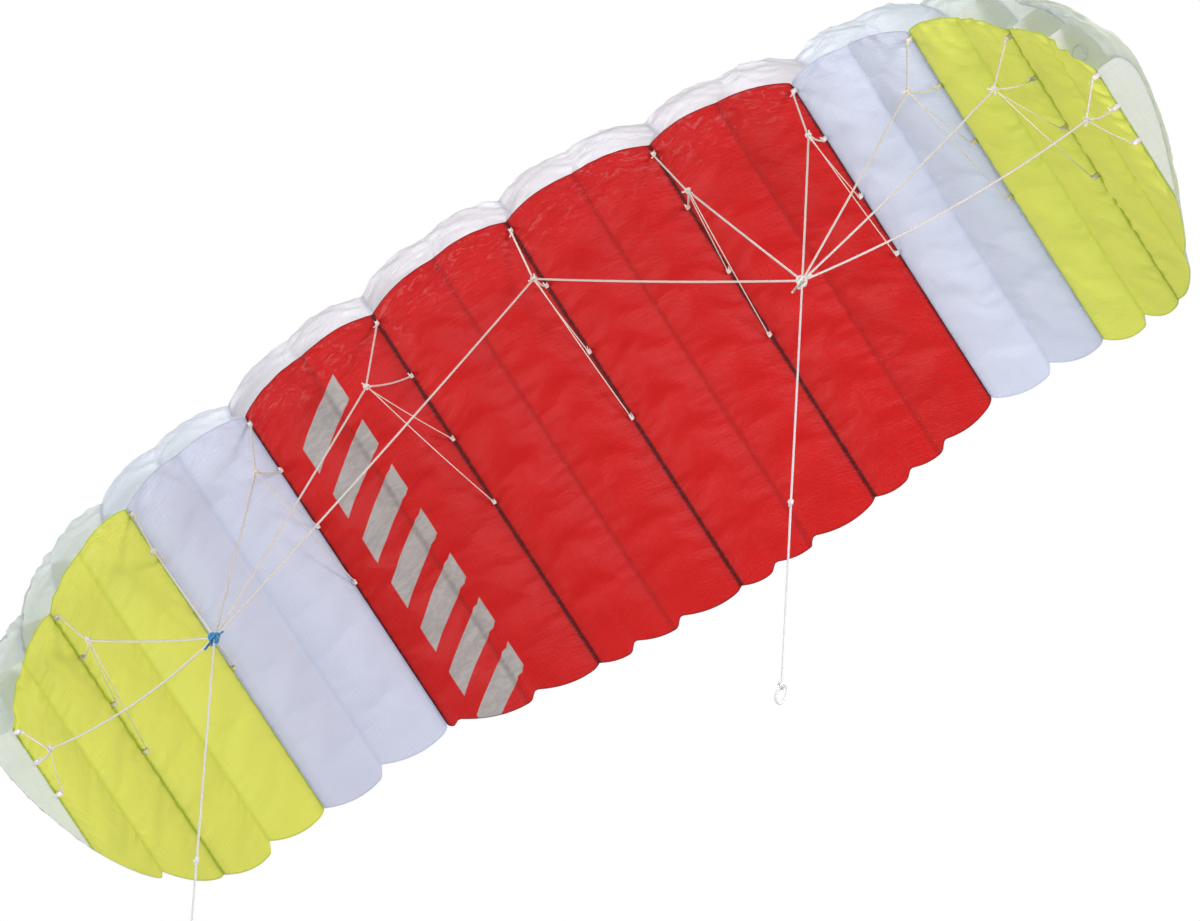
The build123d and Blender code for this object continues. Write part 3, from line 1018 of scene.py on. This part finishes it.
# ---------------------------------------------------------------- bridle tabs
TAB_HALF = 0.0024  # half its width
TAB_LEG = 0.0013  # from the tab's middle to each of its legs
TAB_DROP, TAB_ROUND = 0.0055, 0.0022  # the legs' length, and the loop's depth under them
TAB_SEWN_IN = 0.001
TAB_ARCH = 0.00015
TAB_THICKNESS = 0.0008


def tab_loop(place, share):
    """A folded loop of webbing with its two legs stitched into the seam."""
    corner, up, chord, _ = RIBS[place]
    foot = corner + share * chord * Y_AXIS
    outward = unit(np.cross(Y_AXIS, up))
    path = [foot + outward * TAB_LEG + up * TAB_SEWN_IN]
    path += [foot + outward * TAB_LEG * cos(a) - up * (TAB_DROP + TAB_ROUND * sin(a))
             for a in np.linspace(0, pi, 13)]
    path.append(foot - outward * TAB_LEG + up * TAB_SEWN_IN)
    vertices, faces = [], []
    for p in path:
        for across, lift in ((-1, 0.0), (-0.4, TAB_ARCH), (0.4, TAB_ARCH), (1, 0.0)):
            vertices.append(p + across * TAB_HALF * Y_AXIS - lift * up)
    for k in range(len(path) - 1):
        for j in range(3):
            a = 4 * k + j
            faces.append((a, a + 1, a + 5, a + 4))
    return vertices, faces


def place_tabs(word, places, body):
    """All the tabs of one body, as one piece."""
    parts = [tab_loop(place, share) for place in places for share in tab_shares(place)]
    made = mesh_object(f"tabs_{word}", *joined(parts), WEBBING)
    made.modifiers.new("webbing", "SOLIDIFY").thickness = TAB_THICKNESS
    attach(made, body)
    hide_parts(f"bridle_tabs_{word}")


place_tabs("center", (-6, -4, -2, 0, 2, 4, 6), "canopy")
place_tabs("left_tip", (-10, -8), "tip_left")
place_tabs("right_tip", (8, 10), "tip_right")


# ---------------------------------------------------------------- light and floor
KITE = (0.0, 0.22, -0.12)  # what the lamps are aimed at


def area_light(name, place, size, power, colour):
    data = bpy.data.lights.new(name, "AREA")
    data.shape = "DISK"
    data.size = size
    data.energy = power
    data.color = colour
    light = bpy.data.objects.new(name, data)
    light.location = place
    light.rotation_mode = "QUATERNION"
    light.rotation_quaternion = (Vector(KITE) - Vector(place)).to_track_quat("-Z", "Y")
    light.visible_camera = False
    bpy.context.scene.collection.objects.link(light)


area_light("key", (3.4, -0.6, -4.8), 1.4, 235.0, (1.0, 0.92, 0.98))
area_light("fill", (-4.4, -1.6, -4.0), 3.0, 235.0, (0.97, 0.99, 1.0))
area_light("sky", (0.3, 0.4, 6.5), 5.0, 500.0, (1.0, 0.97, 0.92))


def seen_apart(tree, lighting, picture):
    """A shader that lights the kite one way and looks another way behind it."""
    seen = tree.nodes.new("ShaderNodeLightPath")
    either = tree.nodes.new("ShaderNodeMixShader")
    tree.links.new(seen.outputs["Is Camera Ray"], either.inputs[0])
    tree.links.new(lighting.outputs[0], either.inputs[1])
    tree.links.new(picture.outputs[0], either.inputs[2])
    return either.outputs[0]


world = bpy.data.worlds.new("world")
world.use_nodes = True
sky_tree = world.node_tree
daylight = sky_tree.nodes["Background"]
daylight.inputs["Color"].default_value = (0.93, 0.96, 1.0, 1.0)
daylight.inputs["Strength"].default_value = 0.34
backdrop = add_node(sky_tree, "ShaderNodeBackground", Color=(1.0, 1.0, 1.0, 1.0))
sky_output = sky_tree.nodes["World Output"]
sky_tree.links.new(seen_apart(sky_tree, daylight, backdrop), sky_output.inputs["Surface"])
bpy.context.scene.world = world
bpy.context.scene.view_settings.view_transform = "Standard"

FLOOR_REACH, FLOOR_LEVEL = 300, -40
floor_material, floor_tree = node_material("pale_floor")
paint = add_node(floor_tree, "ShaderNodeBsdfPrincipled", Roughness=0.9)
paint.inputs["Base Color"].default_value = (0.85, 0.85, 0.85, 1.0)
paper = add_node(floor_tree, "ShaderNodeEmission", Color=(0.96, 0.96, 0.96, 1.0))
floor_output = floor_tree.nodes.new("ShaderNodeOutputMaterial")
floor_tree.links.new(seen_apart(floor_tree, paint, paper), floor_output.inputs["Surface"])
floor_corners = [(x * FLOOR_REACH, y * FLOOR_REACH, FLOOR_LEVEL)
                 for x, y in ((-1, -1), (1, -1), (1, 1), (-1, 1))]
floor = mesh_object("floor", floor_corners, [(0, 1, 2, 3)], floor_material, smooth=False)
